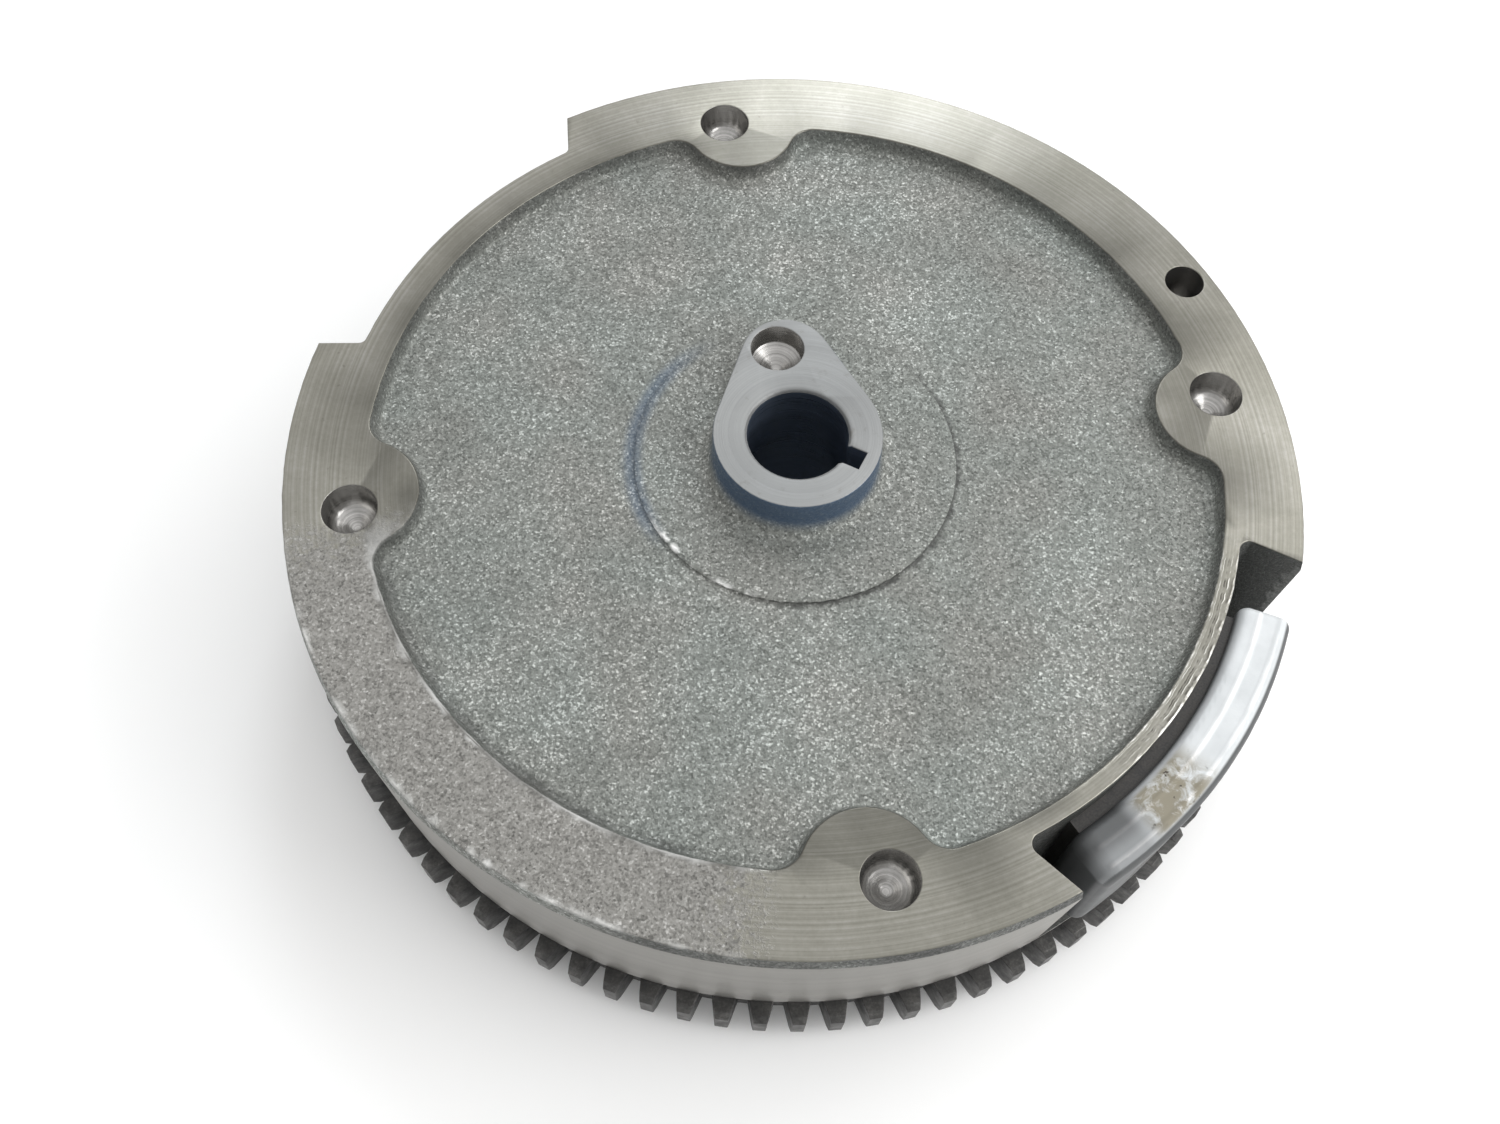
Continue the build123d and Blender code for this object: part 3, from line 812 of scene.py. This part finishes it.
def make_magnet_body():
    """The block's top has two low ridges along it, with painted glints on them, and a duller, stained lower
    end that is also darker; its outer edge, inner side and end face carry painted shade.
    """
    bm = node_bmesh("ignition_magnet_body")
    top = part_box("ignition_magnet_body")[1].z
    split_long_edges(bm, 0.7 * MM, lambda face: True)
    stain_mark = bm.verts.layers.float.new("stain")
    darkening_and_shade_mark = bm.verts.layers.float.new("grime")
    ridge_glint_mark = bm.verts.layers.float.new("edge")
    for vertex in bm.verts:
        point = vertex.co.copy()
        angle, radius = angle_of(point) - 360, radius_of(point)
        vertex.co += vertex.normal * 0.05 * MM * fractal(point, 6, 2)
        upper = smooth(top - 0.5 * MM, top - 0.05 * MM, point.z)
        off_ridge = min(abs(radius - ridge_radius) for ridge_radius in RIDGE_RADII)
        ridge = 1 - smooth(0.1 * MM, 0.55 * MM, off_ridge)
        vertex.co.z += upper * ridge * 0.28 * MM
        # painted glints along the ridges
        vertex[ridge_glint_mark] = 0.8 * upper * ridge * smooth(-0.5, 0.1, noise.noise(point * 150))
        vertex[stain_mark] = smooth(-36, -40, angle) * (1 - smooth(-46, -48, angle)) * upper
        # darker towards the lower end, and painted shade: the outer edge strip (partly dark skin), the inner
        # side in the gap, and the end face below the top
        lower_end = smooth(-45.0, -49.0, angle) * (1 - 0.3 * smooth(92 * MM, 96 * MM, radius))
        outer_edge = 0.95 * smooth(97.6 * MM, 98.1 * MM, radius)
        inner_side = 0.8 * (1 - smooth(88.6 * MM, 89.3 * MM, radius))
        below = 0.9 * smooth(top - 1.2 * MM, top - 3.5 * MM, point.z) * smooth(-42, -46, angle)
        vertex[darkening_and_shade_mark] = max(0.93 * lower_end, outer_edge, inner_side, below)
    return bm


magnet_body = object_from(make_magnet_body(), "ignition_magnet_silver", [die_cast()])
stand_for(magnet_body, "ignition_magnet_body")


# --- the nodes that keep their CAD shape --------------------------------------------------------

def finish_node(name, material):
    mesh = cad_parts[name].data
    mesh.materials.clear()
    mesh.materials.append(material)


ferrite = plain("ferrite", (0.035, 0.035, 0.038), (0.085, 0.085, 0.09), 3.0, 0.15, 0.48)
steel_sheet = laminations()
finish_node("magnet_bond_layer", plain("adhesive", (0.02, 0.02, 0.02), (0.06, 0.055, 0.05), 2.0, 0.0, 0.5))
finish_node("ignition_magnet", ferrite)
finish_node("pole_shoe_leading", steel_sheet)
finish_node("pole_shoe_trailing", steel_sheet)
rivet_steel = plain("rivet_steel", (0.30, 0.30, 0.30), (0.48, 0.48, 0.47), 1.5, 0.9, 0.35)
finish_node("pole_shoe_rivets", rivet_steel)
moulding = plain("moulding", (0.018, 0.018, 0.019), (0.04, 0.04, 0.042), 2.5, 0.0, 0.55)
finish_node("magnet_spacer_ring", moulding)
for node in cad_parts:
    if node.startswith("charging_magnet"):
        finish_node(node, ferrite)


# --- floor, light and camera --------------------------------------------------------------------

def add_floor():
    mesh = bpy.data.meshes.new("floor")
    reach = 3.0
    corners = [(-reach, -reach, 0), (reach, -reach, 0), (reach, reach, 0), (-reach, reach, 0)]
    mesh.from_pydata(corners, [], [(0, 1, 2, 3)])
    mesh.materials.append(floor_paper())
    floor = bpy.data.objects.new("floor", mesh)
    bpy.context.scene.collection.objects.link(floor)


def add_light(name, place, aim, size, power, colour=(1, 1, 1)):
    """A square soft light that faces a point."""
    data = bpy.data.lights.new(name, "AREA")
    data.shape = "RECTANGLE"
    data.size, data.size_y = size
    data.energy = power
    data.color = colour
    light = bpy.data.objects.new(name, data)
    light.location = place
    light.rotation_euler = (Vector(aim) - Vector(place)).to_track_quat("-Z", "Y").to_euler()
    bpy.context.scene.collection.objects.link(light)


def add_world(towards, dim, bright):
    """A white room that is brighter towards one side and dimmer away from it."""
    world = bpy.data.worlds.new("studio")
    world.use_nodes = True
    tree = world.node_tree
    tree.nodes["Background"].inputs["Color"].default_value = (1, 1, 1, 1)
    place = tree.nodes.new("ShaderNodeTexCoord")
    side = tree.nodes.new("ShaderNodeVectorMath")
    side.operation = "DOT_PRODUCT"
    side.inputs[1].default_value = Vector(towards).normalized()
    level = tree.nodes.new("ShaderNodeMapRange")
    level.interpolation_type = "SMOOTHSTEP"
    for key, value in (("From Min", -0.3), ("From Max", 0.95), ("To Min", dim), ("To Max", bright)):
        level.inputs[key].default_value = value
    tree.links.new(place.outputs["Generated"], side.inputs[0])
    tree.links.new(side.outputs["Value"], level.inputs["Value"])
    tree.links.new(level.outputs["Result"], tree.nodes["Background"].inputs["Strength"])
    bpy.context.scene.world = world


# The camera stands above the near side of the flywheel and is rolled a little.
CAMERA_AIM = Vector((-7.6 * MM, -25.2 * MM, RIM_TOP))
CAMERA_DISTANCE = 269.4 * MM
CAMERA_ELEVATION = radians(62.53)
CAMERA_ROLL = radians(3.585)
CAMERA_LENS = 34.8


def add_camera():
    data = bpy.data.cameras.new("camera")
    data.lens = CAMERA_LENS
    data.clip_start, data.clip_end = 0.01, 20
    camera = bpy.data.objects.new("camera", data)
    back = Vector((0, -cos(CAMERA_ELEVATION), sin(CAMERA_ELEVATION)))
    right, up = Vector((1, 0, 0)), Vector((0, sin(CAMERA_ELEVATION), cos(CAMERA_ELEVATION)))
    turned_right = right * cos(CAMERA_ROLL) + up * sin(CAMERA_ROLL)
    turned_up = up * cos(CAMERA_ROLL) - right * sin(CAMERA_ROLL)
    axes = Matrix((turned_right, turned_up, back)).transposed().to_4x4()
    camera.matrix_world = Matrix.Translation(CAMERA_AIM + back * CAMERA_DISTANCE) @ axes
    bpy.context.scene.collection.objects.link(camera)
    bpy.context.scene.camera = camera


add_floor()
add_camera()
add_world((0.4, 0.5, 0.8), 0.59, 1.18)
add_light("window", (0.09, 1.12, 1.18), (0.02, 0.04, 0.05), (0.34, 0.6), 4.2, (0.92, 0.96, 1.0))
add_light("side_window", (0.48, 0.37, 0.55), (0.06, 0.0, 0.05), (0.3, 0.3), 0.7)
add_light("near_lamp", (0.40, -0.12, 0.32), (0.08, -0.03, 0.05), (0.3, 0.3), 0.95)
bpy.context.scene.view_settings.view_transform = "Standard"
